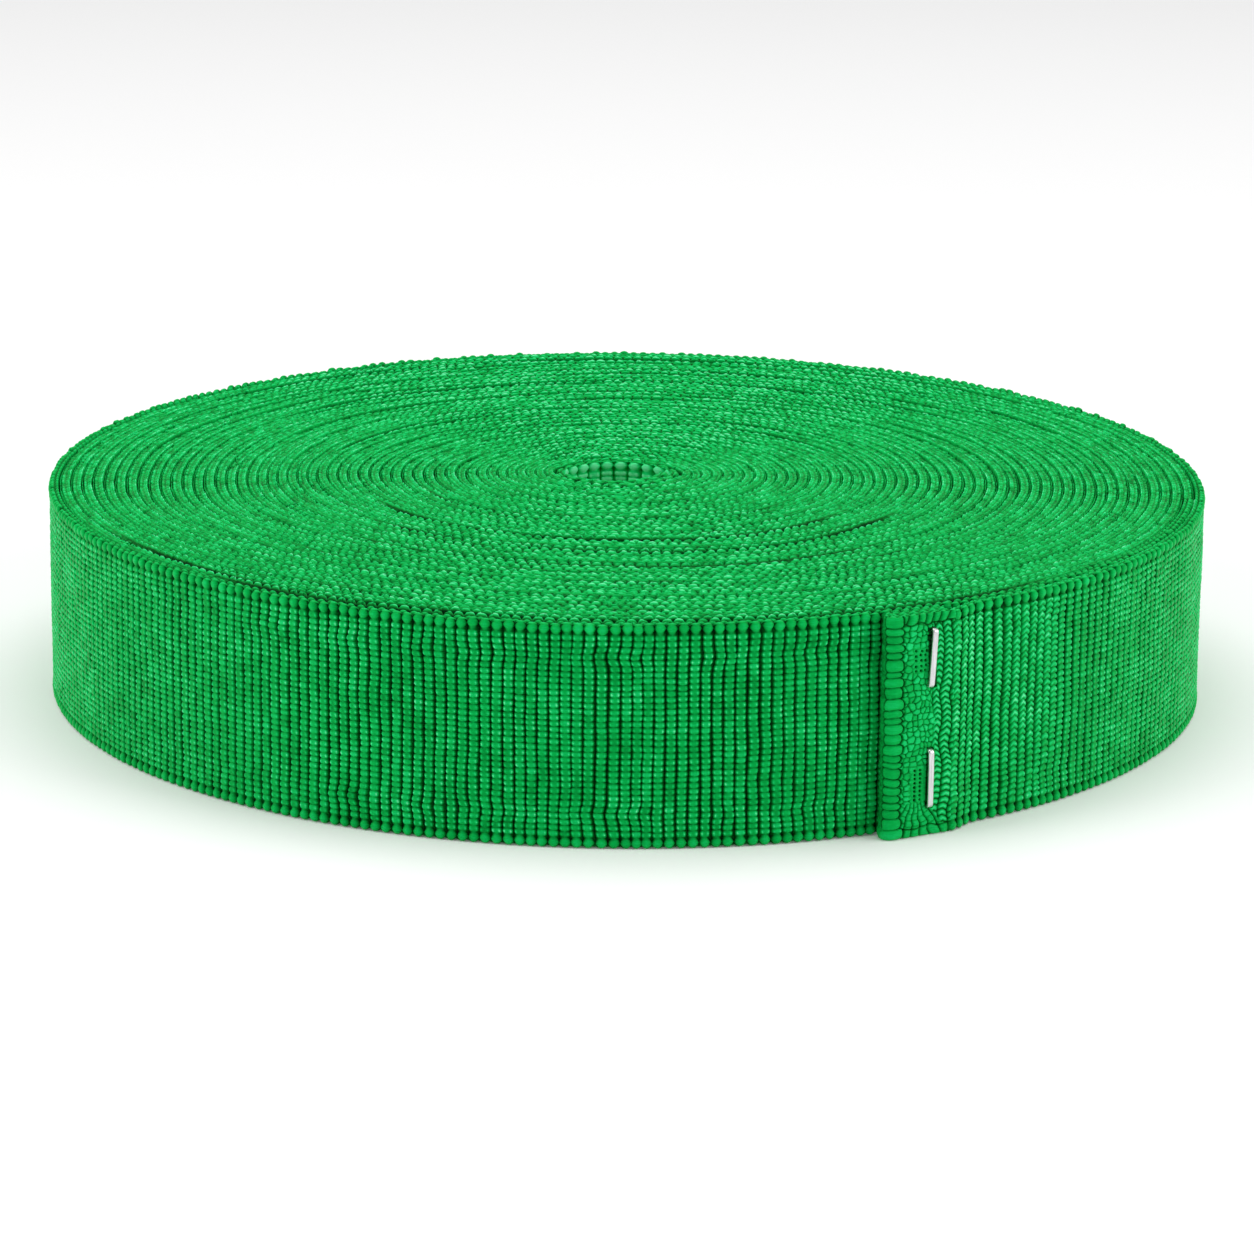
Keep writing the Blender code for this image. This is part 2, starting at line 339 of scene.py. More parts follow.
def face_rows():
    """Heights up the band's face, each with how full the bead is there and how much of a knob it is."""
    knob_heights = np.array([0.20, 0.42, 0.72, 1.10, 1.48, 1.80]) * MM
    bead_heights = [KNOB + (bead + phase) * BEAD_PITCH for bead in range(BEADS) for phase in BEAD_PHASES]
    bead_fullness = [1.0 - abs(2 * phase - 1) ** 2.4 for _ in range(BEADS) for phase in BEAD_PHASES]
    heights = np.concatenate(
        [knob_heights, bead_heights, [BAND_WIDTH - KNOB], BAND_WIDTH - knob_heights[::-1]]
    )
    ends = np.ones(len(knob_heights))
    full = np.concatenate([ends, bead_fullness, [0.0], ends])
    knob = np.concatenate([ends, np.zeros(len(bead_heights) + 1), ends])
    return heights, full, knob


ROW_HEIGHTS, ROW_FULL, ROW_KNOB = face_rows()
KNOB_MIDDLE = 0.98 * MM


def rib_dome(phase):
    """0 in the groove between two ribs, rising steeply to 1 on the rib."""
    return (1.0 - np.abs(2 * phase - 1) ** 4.6) ** 0.66


def half_round(phase):
    """A half circle across a rib: 0 at its sides and 1 in its middle."""
    return np.sqrt(np.clip(1.0 - (2 * phase - 1) ** 2, 0, 1))


def braid_at(ribs, z):
    """How far beads are braided, pointed and half a bead apart from rib to rib, near the folded end."""
    along = 1 - smooth_step(BRAIDED_RIBS, 1.8 * BRAIDED_RIBS, ribs)
    return along * (0.45 + 0.55 * smooth_step(*BRAID_HEIGHTS, z))


def braid_rise(number, phase):
    """How far a braided bead stands above its plain place, as a share of a bead."""
    return 0.30 - 0.66 * np.abs(2 * phase - 1) + 0.5 * (number % 2)


def bead_bumps(ribs, phase, z, number, seed):
    """Each bead as a pair of bumps side by side, which here and there run together."""
    away = np.abs(phase - 0.5)
    twin = bell(away, TWIN_SPREAD, TWIN_WIDTH)
    middle = 1 - smooth_step(0.04, TWIN_SPREAD, away)
    merged = 0.5 + 0.7 * lattice_noise(ribs * 0.57, z / (3.2 * MM), seed + 9)
    bump = twin * ROW_FULL * (1 - middle)
    bump = bump + middle * (0.42 + 0.5 * ROW_FULL * np.clip(merged, 0, 1))
    size = 1.0 + 0.5 * lattice_noise(ribs * 1.7, number * 0.9, seed)
    return bump, size, twin, middle


def painted_bead_highlights(ribs, phase, z, number, twin, middle, braid, seed):
    """A painted highlight on top of each bump: a small bright spot, stronger on some beads than on others."""
    away = np.abs(phase - 0.5)
    spot = (1 - middle * (1 - braid)) * (twin**2 * (1 - braid) + braid * (1 - 2 * away)) * ROW_FULL**3
    spot = spot * (0.60 + 0.35 * lattice_noise(ribs * 0.37, z / (3 * MM), seed + 11))
    spot = spot * (1 + 0.7 * lattice_noise(ribs * 5.1 + 3 * (phase > 0.5), number * 3.7, seed + 12))
    return np.clip(spot, 0, 1)


def bead_shifts(ribs, phase, z, braid, seed):
    """How far beads stand aside along the band, and how far up."""
    edge_row = bell(np.abs(z - BAND_WIDTH / 2), PUSHED_ROW, 1.4 * MM)
    aside = 0.24 * MM * lattice_noise(ribs * 0.23, z / (6 * MM), seed + 3)
    aside = aside + 0.13 * MM * lattice_noise(ribs * 1.1, z / (1.7 * MM), seed + 4)
    aside = aside + 0.75 * MM * edge_row * lattice_noise(ribs * 0.28, 1.0, seed + 5)
    aside = aside * (1 - 0.8 * np.abs(phase - 0.5))
    notch = 0.24 * MM * (1 - ROW_FULL) * (0.5 - phase) * 2 * rib_dome(phase)
    inside = smooth_step(0, 0.6 * MM, np.minimum(z, BAND_WIDTH - z) - KNOB)
    up = 0.22 * MM * lattice_noise(ribs * 0.61, z / (5 * MM), seed + 6)
    up = up + 0.08 * MM * lattice_noise(ribs * 1.9, z / (1.5 * MM), seed + 7)
    up = (up + braid_rise(ribs, phase) * BEAD_PITCH * braid) * inside
    return aside + notch, up


def beaded_face(ribs, phase, seed):
    """For columns by rows: inward offset, shift along the band, shift in height, and shade, which holds
    painted shade and painted highlights.
    """
    ribs, phase = ribs[:, None], phase[:, None]
    z = ROW_HEIGHTS[None, :]
    knob = ROW_KNOB[None, :]
    dome, ball = rib_dome(phase), half_round(phase)
    number = np.floor((z - KNOB) / BEAD_PITCH + 0.02)
    braid = braid_at(ribs, z) * (1 - knob)
    bump, size, twin, middle = bead_bumps(ribs, phase, z, number, seed)
    bump = mixed(bump, ROW_FULL, braid)
    face = RIB_DEPTH * (1 - dome) + BEAD_DEPTH * (1 - bump) * size
    face = face + 0.05 * MM * lattice_noise(ribs * 2.3, number * 1.3, seed + 1)
    # The knob at each end of a rib is a ball.
    off_knob = np.minimum(z, BAND_WIDTH - z) - KNOB_MIDDLE
    sphere = np.sqrt(np.clip(ball**2 - 0.85 * (off_knob / MM) ** 2, 0, 1))
    stout = lattice_noise(ribs * 1.3, np.sign(z - BAND_WIDTH / 2) * 3.0 + 0.5, seed + 10)
    ball_face = 0.85 * MM * (1 - sphere) - 0.10 * MM * (1 + stout)
    inward = mixed(face, ball_face, knob)
    inward = inward + 0.10 * MM * lattice_noise(ribs * 0.21, z / (9 * MM), seed + 2)
    aside, up = bead_shifts(ribs, phase, z, braid, seed)
    rounding = np.where(z > BAND_WIDTH / 2, 1.0, -1.0) * off_knob * 0.85 * (1 - ball)
    # Painted shade: darker in the grooves between the ribs and between each bead's bumps; the noise below
    # varies it at random.
    shade = (0.07 + 0.93 * dome) * (0.33 + 0.42 * bump + 0.06 * size)
    shade = shade * (1 + 0.16 * lattice_noise(ribs * 2.9, number * 1.7, seed + 8))
    # Painted highlights: a bright spot added to the shade on top of each bump.
    shade = shade + 0.58 * painted_bead_highlights(ribs, phase, z, number, twin, middle, braid, seed)
    # Painted shade on each knob: darker as its ball curves away from its middle.
    ball_shade = 0.08 + 0.70 * sphere**0.7 + 0.10 * stout * ball
    return inward, aside, up + rounding * knob, mixed(shade, ball_shade, knob)


# Round the top edge and the bottom edge of a detailed strip, each point's q and its rise in mm
TOP_EDGE = (
    (0.52, -0.05),
    (0.30, 0.02),
    (0.06, -0.08),
    (-0.14, -0.40),
    (-0.34, -0.12),
    (-0.58, 0.0),
    (-0.80, -0.14),
)
BOTTOM_EDGE = ((-0.80, 0.03), (-0.45, 0.0), (0.0, 0.25), (0.30, 0.02), (0.52, 0.05))


def edge_points(edge, level, phase, sign):
    """q, height and shade of an edge's points for each column."""
    q = np.array([p[0] for p in edge])[None, :]
    rise = np.array([p[1] for p in edge])[None, :] * MM
    outer, inner = half_round(phase)[:, None], half_round((phase + 0.5) % 1.0)[:, None]
    ball = np.where(q > 0, outer, inner)
    q = q * (0.25 + 0.75 * ball)
    height = level + rise - sign * 0.90 * MM * (1 - ball)
    # Painted shade: darker in the grooves between the rib ends and in the hollow along the edge.
    shade = (0.10 + 0.72 * ball) * (0.45 + 0.55 * smooth_step(0.0, 0.3, np.abs(q + 0.14)))
    return q, height, shade


def detailed_strip(name, first, last, material, both_faces, seed, lift=None, pitch=RIB_PITCH):
    """A stretch of band from rib first to rib last, beaded on its outer face, or on both."""
    ribs, phase, length = rib_columns(first, last, RIB_PHASES, pitch)
    edge_fade = np.minimum(ribs - first + phase, last - ribs - phase).clip(0, 1)[:, None]
    inward, aside, shift_z, shade = beaded_face(ribs, phase, seed)
    aside = aside * edge_fade
    outer_offset = HALF_THICKNESS - inward
    # The knobs along the top stand a little higher or lower from rib to rib.
    swell = 0.24 * MM * lattice_noise(ribs * 1.37, 8.0, seed + 13)[:, None]
    outer_z = ROW_HEIGHTS[None, :] + shift_z + swell * ROW_KNOB * (ROW_HEIGHTS > BAND_WIDTH / 2)
    sections = [(outer_offset, aside, outer_z, shade)]
    q, z, tone = edge_points(TOP_EDGE, BAND_WIDTH, phase, 1)
    sections.append((q * HALF_THICKNESS, np.zeros_like(z), z + swell * (q > -0.1), tone))
    if both_faces:
        # The inner face's shade is raised: painted light that brightens the eye's wall where it lies in
        # shade.
        back_in, back_aside, back_shift, back_shade = beaded_face(ribs, phase, seed + INNER_FACE_SEED)
        sections.append(
            (
                (back_in - HALF_THICKNESS)[:, ::-1],
                (back_aside * edge_fade)[:, ::-1],
                (ROW_HEIGHTS[None, :] + back_shift)[:, ::-1],
                (0.36 + 1.15 * back_shade)[:, ::-1],
            )
        )
    else:
        back = np.array([BAND_WIDTH - 1.5 * MM, 1.5 * MM])[None, :]
        dome = rib_dome(phase)[:, None]
        draw = -HALF_THICKNESS + RIB_DEPTH * (1 - dome)
        flat = np.zeros((len(phase), 2))
        sections.append((flat + draw, flat, flat + back, flat + 0.3))
    # The bottom edge is painted darker than the top edge: painted shade under the band.
    q, z, tone = edge_points(BOTTOM_EDGE, 0.0, phase, -1)
    sections.append((q * HALF_THICKNESS, np.zeros_like(z), z, tone * 0.8))
    offset, along, z, shade = (np.concatenate(part, 1) for part in zip(*sections))
    wound = wound_at(length[:, None] + along)
    if lift is not None:
        offset = offset + lift(wound)
    flat = winding_point(wound, offset)
    rings = np.concatenate([flat, z[..., None]], -1)
    return add_piece(name, grid_mesh(name, rings, shade, cloth_of(length[:, None] + along, z)), material)


# ---------------- the turns seen from above

# The wound turns' section: q, drop below the top in mm, or rise above the floor as a number below 0, and
# shade, which is painted shade in the grooves and under the turn and painted highlights on the loops' crests.
# The point at 0.76 has no drop, so it lies by the floor, and a narrow slit runs down to it.
PLAIN_SECTION = (
    (-1.00, 0.85, 0.40),
    (-0.92, 0.36, 0.62),
    (-0.76, 0.02, 1.18),
    (-0.58, 0.24, 0.62),
    (-0.34, 0.18, 0.80),
    (-0.08, 0.48, 0.36),
    (0.14, 0.34, 0.56),
    (0.36, 0.16, 0.82),
    (0.58, 0.26, 0.62),
    (0.76, 0.00, 1.22),
    (0.92, 0.36, 0.62),
    (1.00, 0.85, 0.40),
    (1.00, -1.20, 0.10),
    (0.55, -0.04, 0.55),
    (-0.55, -0.04, 0.55),
    (-1.00, -1.20, 0.10),
)

# Where turns stand apart: radius in mm, azimuth and half width in degrees, and depth in mm
OPEN_TURNS = (
    (105.0, 0, 50, 1.7),
    (103.4, -15, 55, 1.2),
    (101.0, 178, 62, 1.1),
    (92.0, 150, 40, 0.6),
    (82.0, 180, 60, 1.0),
    (74.5, 60, 45, 0.5),
    (67.4, -5, 60, 0.7),
    (57.8, 5, 62, 1.7),
    (56.0, -140, 42, 0.6),
    (49.6, -5, 65, 1.7),
    (44.0, 150, 50, 0.5),
    (38.0, 0, 90, 0.6),
    (27.0, -170, 60, 0.5),
)


def opening_at(wound):
    """How deep the gap beside a turn is there, in metres, for the turns that stand apart."""
    azimuth = np.degrees(END_AZIMUTH + wound)
    radius = plain_radius(wound) / MM
    depth = np.zeros_like(wound)
    for at, middle, half, drop in OPEN_TURNS:
        away = np.abs((azimuth - middle + 180) % 360 - 180)
        near = np.clip(1.3 - np.abs(radius - at) / (0.5 * TURN_PITCH / MM), 0, 1)
        depth = np.maximum(depth, near * (1 - smooth_step(half * 0.55, half, away)) * drop)
    return depth * MM


def turn_level(wound):
    """How far each turn's edge stands above or below the rest."""
    turn = np.floor((wound - TAIL_WOUND) / math.tau)
    level = 0.14 * lattice_noise(wound * 0.9, 5.0, 31) + 0.16 * lattice_noise(wound * 3.7, 9.0, 32)
    level = level + 0.10 * lattice_noise(turn * 0.77 + wound * 0.05, 2.0, 33)
    return level * MM


def turn_sway(wound):
    """A slow wander of the turns in and out, shared by neighbours so that they never cross."""
    radius = plain_radius(wound)
    fade = smooth_step(0.0, 12 * MM, MID_RADIUS - 3 * TURN_PITCH - radius)
    azimuth = END_AZIMUTH + wound
    x, y = np.sin(azimuth) * radius, -np.cos(azimuth) * radius
    return 0.9 * MM * fade * lattice_noise(x / (26 * MM), y / (26 * MM), 41)


def wound_turns(name, first, last, material):
    """Turns whose faces are hidden: a full section with both rows of rib ends along its edges."""
    ribs, phase, length = rib_columns(first, last, PLAIN_PHASES)
    wound = wound_at(length)
    opening = opening_at(wound)[:, None]
    q, drop, tone = (np.array([p[i] for p in PLAIN_SECTION])[None, :] for i in range(3))
    drop = drop * MM
    top = drop > 0
    looped = np.abs(q) > 0.1
    side = np.sign(q)
    # The loops of the outer face and of the inner face are half a rib apart.
    ball = np.where(q > 0, half_round(phase)[:, None], half_round((phase + 0.5) % 1.0)[:, None])
    # Towards the eye's tips the turns are drawn flatter, and their loops run together.
    drawn = smooth_step(0.45, 0.95, np.abs(np.sin(END_AZIMUTH + wound)))[:, None]
    drop = drop * (1 - 0.40 * drawn * top)
    # The section's painted shade and highlights are evened out there as well.
    tone = tone + (0.85 - tone) * 0.40 * drawn
    ball = 1 - (1 - ball) * (1 - 0.55 * drawn)
    bump = lattice_noise(ribs[:, None] * 1.37 + 0.5 * side, side * 3.1 + 0.5, 21)
    lean = lattice_noise(ribs[:, None] * 0.93, side * 1.7 + 0.5, 22)
    tuft = lattice_noise(length[:, None] / (0.8 * MM) % 256, q * 4.0 + 40.0, 23)
    fall = np.where(top, opening * smooth_step(-0.4, 0.7, q), 0.0)
    z_top = BAND_WIDTH - drop - 0.60 * MM * (1 - ball) * looped
    z_top = z_top + 0.20 * MM * bump + 0.08 * MM * tuft + turn_level(wound)[:, None] - fall
    z_low = -drop + 0.30 * MM * (1 - ball) * looped + 0.05 * MM * (1 + bump)
    z = np.where(top, z_top, z_low)
    parted = smooth_step(0.0, 1.0 * MM, opening)
    # Each loop's crest is an arc, drawn in at the grooves.
    width = 1 - np.where(np.abs(q) > 0.95, 0.0, 0.42) * (1 - ball) - 0.30 * parted * (q > 0.2)
    offset = HALF_THICKNESS * (q * width + 0.06 * lean) + turn_sway(wound)[:, None]
    # Painted shade: darker in the grooves between the loops; bump and tuft vary it at random.
    shade = tone * (0.34 + 0.66 * ball) * (1 + 0.28 * bump + 0.26 * tuft)
    # Painted shade: darker where the turns stand apart, on the slope down into the gap.
    shade = shade * (1 - 0.75 * parted * smooth_step(-0.6, 0.0, q))
    flat = winding_point(np.broadcast_to(wound[:, None], offset.shape), offset)
    rings = np.concatenate([flat, z[..., None]], -1)
    cloth = cloth_of(length[:, None], z + offset)
    return add_piece(name, grid_mesh(name, rings, shade, cloth), material)


# ---------------- materials


def node_tree(name):
    material = bpy.data.materials.new(name)
    material.use_nodes = True
    tree = material.node_tree
    return material, tree, tree.nodes["Principled BSDF"]


def stretched(tree, vector, scale):
    mapping = tree.nodes.new("ShaderNodeMapping")
    mapping.inputs["Scale"].default_value = scale
    tree.links.new(vector, mapping.inputs["Vector"])
    return mapping.outputs["Vector"]


def noise_over(tree, vector, scale, detail):
    noise = tree.nodes.new("ShaderNodeTexNoise")
    noise.inputs["Scale"].default_value = scale
    noise.inputs["Detail"].default_value = detail
    tree.links.new(vector, noise.inputs["Vector"])
    return noise.outputs["Fac"]


def shifted_by(tree, value, noise, amount):
    """The value, moved up or down by up to half the amount."""
    scaled = tree.nodes.new("ShaderNodeMath")
    scaled.operation = "MULTIPLY_ADD"
    scaled.inputs[1].default_value = amount
    scaled.inputs[2].default_value = -amount / 2
    tree.links.new(noise, scaled.inputs[0])
    total = tree.nodes.new("ShaderNodeMath")
    total.operation = "ADD"
    tree.links.new(value, total.inputs[0])
    tree.links.new(scaled.outputs[0], total.inputs[1])
    return total.outputs[0]


def ramp_through(tree, value, stops):
    """Colours by value, through stops given from the lowest to the highest."""
    ramp = tree.nodes.new("ShaderNodeValToRGB")
    elements = ramp.color_ramp.elements
    first, *between, last = stops
    for element, (position, colour) in ((elements[0], first), (elements[1], last)):
        element.position = position
        element.color = (*colour, 1)
    for position, colour in between:
        elements.new(position).color = (*colour, 1)
    tree.links.new(value, ramp.inputs["Fac"])
    return ramp.outputs["Color"]


def roughened(tree, shader, noise, roughness, strength, distance):
    """Roughness in a range, and a fine relief, both from one noise."""
    rough = tree.nodes.new("ShaderNodeMapRange")
    rough.inputs["To Min"].default_value, rough.inputs["To Max"].default_value = roughness
    tree.links.new(noise, rough.inputs["Value"])
    tree.links.new(rough.outputs["Result"], shader.inputs["Roughness"])
    bump = tree.nodes.new("ShaderNodeBump")
    bump.inputs["Strength"].default_value = strength
    bump.inputs["Distance"].default_value = distance
    tree.links.new(noise, bump.inputs["Height"])
    tree.links.new(bump.outputs["Normal"], shader.inputs["Normal"])


# Position on the ramp and colour, from the painted shade of the grooves between the ribs
# to the painted highlights on the tops of the yarns
GREENS = (
    (0.03, (0.0001, 0.010, 0.001)),
    (0.26, (0.0003, 0.130, 0.013)),
    (0.56, (0.0020, 0.440, 0.072)),
    (0.80, (0.0120, 0.700, 0.190)),
    (1.00, (0.160, 0.880, 0.400)),
)
STEELS = ((0.30, (0.50, 0.50, 0.51)), (0.62, (0.80, 0.80, 0.81)))
BRIGHTEST_SHADE = 1.25


def elastic_material():
    """Green woven elastic: painted shade between the ribs, painted highlights on the yarns, fine threads
    across each bead.
    """
    material, tree, shader = node_tree("green_elastic")
    shade = tree.nodes.new("ShaderNodeAttribute")
    shade.attribute_name = "shade"
    cloth = tree.nodes.new("ShaderNodeAttribute")
    cloth.attribute_name = "cloth"
    threads = stretched(tree, cloth.outputs["Vector"], (900.0, 5200.0, 1.0))
    fine = noise_over(tree, threads, 1.0, 2.0)
    mottle = noise_over(tree, cloth.outputs["Vector"], 160.0, 3.0)
    level = shifted_by(tree, shade.outputs["Fac"], fine, 0.30)
    level = shifted_by(tree, level, mottle, 0.26)
    reach = tree.nodes.new("ShaderNodeMapRange")
    reach.inputs["From Max"].default_value = BRIGHTEST_SHADE
    tree.links.new(level, reach.inputs["Value"])
    colour = ramp_through(tree, reach.outputs["Result"], GREENS)
    tree.links.new(colour, shader.inputs["Base Color"])
    roughened(tree, shader, fine, (0.34, 0.52), 0.35, 0.06 * MM)
    shader.inputs["Specular IOR Level"].default_value = 0.09
    shader.inputs["Specular Tint"].default_value = (0.12, 1.0, 0.42, 1)
    shader.inputs["Sheen Weight"].default_value = 0.03
    shader.inputs["Sheen Roughness"].default_value = 0.35
    shader.inputs["Sheen Tint"].default_value = (0.15, 1.0, 0.45, 1)
    return material


def steel_material():
    """Drawn flat wire: bright, with fine lines along its length."""
    material, tree, shader = node_tree("staple_steel")
    place = tree.nodes.new("ShaderNodeTexCoord")
    lines = noise_over(tree, stretched(tree, place.outputs["Object"], (9000.0, 9000.0, 260.0)), 1.0, 3.0)
    tree.links.new(ramp_through(tree, lines, STEELS), shader.inputs["Base Color"])
    roughened(tree, shader, lines, (0.24, 0.46), 0.25, 0.03 * MM)
    shader.inputs["Metallic"].default_value = 1.0
    return material


# ---------------- the folded end

# Steps along the folded end and up it, steps round the bend, and how far short of the hinge the flap ends
FOLD_COLUMN_STEP = 0.13 * MM
FOLD_ROW_STEP = 0.12 * MM
FOLD_STEPS = 40
FLAP_SHORTFALL = 0.004
FOLDED_SETBACK = FOLDED_WOUND * LIFTED_RADIUS

# The outer face's margin to the edges, its rounding towards them, and how far a crown presses it in
FACE_MARGIN = 0.14 * MM
FACE_EDGE = 0.9 * MM
FACE_EDGE_DROP = 0.34 * MM
CROWN_PRESS = 0.22 * MM

# The crushed cloth between the fold and the staples' line, and the rib ends along its edges
PEBBLE_WIDTH = 1.22 * MM
PEBBLE_HEIGHT = 1.06 * MM
PEBBLES_END = (8.8 * MM, 9.8 * MM)
RIM_WIDTH = 1.75 * MM
RIM_PITCH = 1.85 * MM
RIM_LEAN = 0.45
RIM_LEANING = 3.5 * MM

# The fold's column of segments: its width, relief, lowest segment, the range of the others, and its corners
FOLD_WIDTH = 3.25 * MM
FOLD_DEPTH = 0.80 * MM
LOWEST_SEGMENT = 2.1 * MM
SEGMENT_HEIGHTS = (0.9, 2.2)
SEGMENT_ROUND = 0.32 * MM
SEGMENT_CORNER = 0.85 * MM

# Beside each staple's crown the cloth is pressed flat, with small holes between its threads. For each patch:
# its middle and half height, the holes' pitch and stray, and each column's place and depth
PINHOLE_RADIUS = 0.23 * MM
PRESSED_MIDDLE = 6.6 * MM
PRESSED_HALF = 1.9 * MM
PRESSED_PATCHES = (
    (
        STAPLE_HEIGHTS["staple_lower"] - 0.9 * MM,
        3.1 * MM,
        0.76 * MM,
        0.05 * MM,
        ((5.8 * MM, 1.0), (6.9 * MM, 0.95), (4.6 * MM, 0.7)),
    ),
    (
        STAPLE_HEIGHTS["staple_upper"] - 0.3 * MM,
        2.2 * MM,
        0.88 * MM,
        0.20 * MM,
        ((7.6 * MM, 0.8), (6.6 * MM, 0.9), (5.5 * MM, 0.8)),
    ),
)

# Beside the lower staple the threads fan down from a point: its distance from the band's end, and its height
FAN_FOCUS = (5.9 * MM, 9.7 * MM)
FAN_TOP = 6.5 * MM
FAN_SPOKE = 11.5
FAN_ROW = 1.15 * MM
FAN_FROM, FAN_TO = (-38, -34), (33, 37)


def fold_path():
    """Middle line of the folded end in plan: the leaf out to the fold, round it, and the flap back."""
    fold_radius = TURN_PITCH / 2
    fold_wound = (fold_radius + CAD_HALF) / LIFTED_RADIUS
    leaf_steps = int((FOLDED_WOUND - fold_wound) * LIFTED_RADIUS / FOLD_COLUMN_STEP)
    leaf = np.linspace(FOLDED_WOUND, fold_wound, leaf_steps, endpoint=False)
    leaf_points = winding_point(leaf, np.full_like(leaf, TURN_PITCH))
    leaf_normals = outward(leaf)
    turned = np.linspace(0, math.pi, FOLD_STEPS)
    out = outward(fold_wound)
    forward = -np.array([-out[1], out[0]])
    centre = winding_point(fold_wound, TURN_PITCH - fold_radius)
    fold_normals = np.cos(turned)[:, None] * out + np.sin(turned)[:, None] * forward
    fold_points = centre + fold_radius * fold_normals
    flap = np.linspace(fold_wound, FOLDED_WOUND - FLAP_SHORTFALL, leaf_steps // 3 + 1)[1:]
    flap_points = winding_point(flap, np.zeros_like(flap))
    flap_normals = -outward(flap)
    points = np.concatenate([leaf_points, fold_points, flap_points])
    normals = np.concatenate([leaf_normals, fold_normals, flap_normals])
    # Distance from the band's end along the outer face, for patterns: negative round the fold and behind.
    setback = np.concatenate(
        [
            leaf * LIFTED_RADIUS,
            fold_wound * LIFTED_RADIUS - turned * (fold_radius + CAD_HALF) * 0.9,
            -(flap * LIFTED_RADIUS),
        ]
    )
    return points, normals, setback


def stacked_segments(z):
    """The fold's plump segments, one above another: distance from a segment's ends, and how it stands out."""
    rng = np.random.default_rng(77)
    cuts = [0.0, LOWEST_SEGMENT]
    while cuts[-1] < BAND_WIDTH - SEGMENT_HEIGHTS[1] * MM:
        cuts.append(cuts[-1] + rng.uniform(*SEGMENT_HEIGHTS) * MM)
    cuts[-1] = BAND_WIDTH + 0.2 * MM
    cuts = np.array(cuts)
    plumpness = rng.uniform(-1, 1, len(cuts))
    plumpness[0] = 2.2
    number = np.clip(np.searchsorted(cuts, z, side="right") - 1, 0, len(cuts) - 2)
    return np.minimum(z - cuts[number], cuts[number + 1] - z), plumpness[number]


def ribbed_cloth(setback, z, seed):
    """Ribs and beads as relief and shade for a place given by its distance from the band's end."""
    rib = (setback - FOLDED_SETBACK) / RIB_PITCH
    number = np.floor(rib)
    phase = rib - number
    dome = rib_dome(phase)
    shifted = 0.3 * lattice_noise(number * 0.7, z / (4 * MM), seed)
    bead = (z - KNOB) / BEAD_PITCH - braid_rise(number, phase) * braid_at(rib, z) + shifted
    full = 1.0 - np.abs(2 * (bead - np.floor(bead)) - 1) ** 2.2
    # Painted shade in the grooves between ribs and between beads, and a painted highlight on each bead's top.
    shade = (0.04 + 0.96 * dome) * (0.16 + 0.72 * full) + 0.2 * full**3 * dome**3
    return dome * (0.45 + 0.55 * full), shade


def pinholes(setback, z, patch):
    """Columns of small holes between the threads: 1 in the middle of a hole, and 0 in the cloth."""
    middle, half, pitch, stray, columns = patch
    low, high = middle - half, middle + half
    row = np.floor((z - low) / pitch)
    hole = np.zeros(z.shape)
    for column, depth in columns:
        at_x = column + stray * lattice_noise(row * 1.7, column / MM, 69)
        at_z = low + (row + 0.5) * pitch + stray * lattice_noise(row * 2.3, column / MM + 20, 69)
        size = PINHOLE_RADIUS * (1 + 0.25 * lattice_noise(row * 3.1, column / MM + 40, 69))
        away = np.hypot(setback - at_x, z - at_z)
        hole = np.maximum(hole, depth * np.exp(-((away / size) ** 4)))
    return hole * (z > low) * (z < high)


def fanned_cloth(setback, z):
    """Threads fanning down beside the lower staple: relief, dome across each, and how far they cover."""
    across, down = setback - FAN_FOCUS[0], FAN_FOCUS[1] - z
    angle = np.degrees(np.arctan2(across, np.maximum(down, 0.1 * MM)))
    reach = np.hypot(across, down)
    spoke = (angle + 2.5 * lattice_noise(reach / (1.5 * MM), angle / 20, 67)) / FAN_SPOKE + 0.3
    number = np.floor(spoke)
    dome = rib_dome(spoke - number)
    row = reach / FAN_ROW + 0.35 * lattice_noise(number * 1.3, 4.0, 68)
    block = 1 - np.abs(2 * (row - np.floor(row)) - 1) ** 7
    cover = smooth_step(*FAN_FROM, angle) * (1 - smooth_step(*FAN_TO, angle))
    above = FAN_FOCUS[1] - FAN_TOP
    cover = cover * smooth_step(above, above + 0.5 * MM, down)
    return dome * (0.55 + 0.45 * block), dome, cover


def drawn_cloth(setback, z):
    """Where the cloth's own lines run: they draw together at the ends of each crown, and spread beyond."""
    x = setback
    for height in STAPLE_HEIGHTS.values():
        for up in (1, -1):
            beyond = (z - height) * up - STAPLE_CROWN / 2
            pull = bell(beyond, 1.2 * MM, 2.4 * MM) * bell(setback, STAPLE_SETBACK, 4 * MM)
            x = x + pull * (setback - STAPLE_SETBACK) * 0.45
    x = x + 0.22 * MM * lattice_noise(z / (3 * MM), setback / (2.5 * MM), 61)
    y = z + 0.18 * MM * lattice_noise(z / (2.6 * MM) + 40, setback / (2.2 * MM), 62)
    return x, y


def rim_knobs(x, z, fan, fan_dome):
    """Plump rib ends along both edges, leaning towards the fold at the top: relief, cover and seam."""
    rim = np.minimum(z, BAND_WIDTH - z)
    lean = RIM_LEAN * np.maximum(z - (BAND_WIDTH - RIM_LEANING), 0)
    phase = ((x - FOLDED_SETBACK - lean) / RIM_PITCH) % 1.0
    knob = np.where(fan > 0.5, fan_dome, half_round(phase))
    wide = RIM_WIDTH + 0.5 * MM * lattice_noise(x / RIM_PITCH, np.sign(z - BAND_WIDTH / 2) * 2.0, 70)
    cover = 1 - smooth_step(wide - 0.12 * MM, wide + 0.12 * MM, rim)
    return knob, cover, bell(rim, wide, 0.15 * MM)


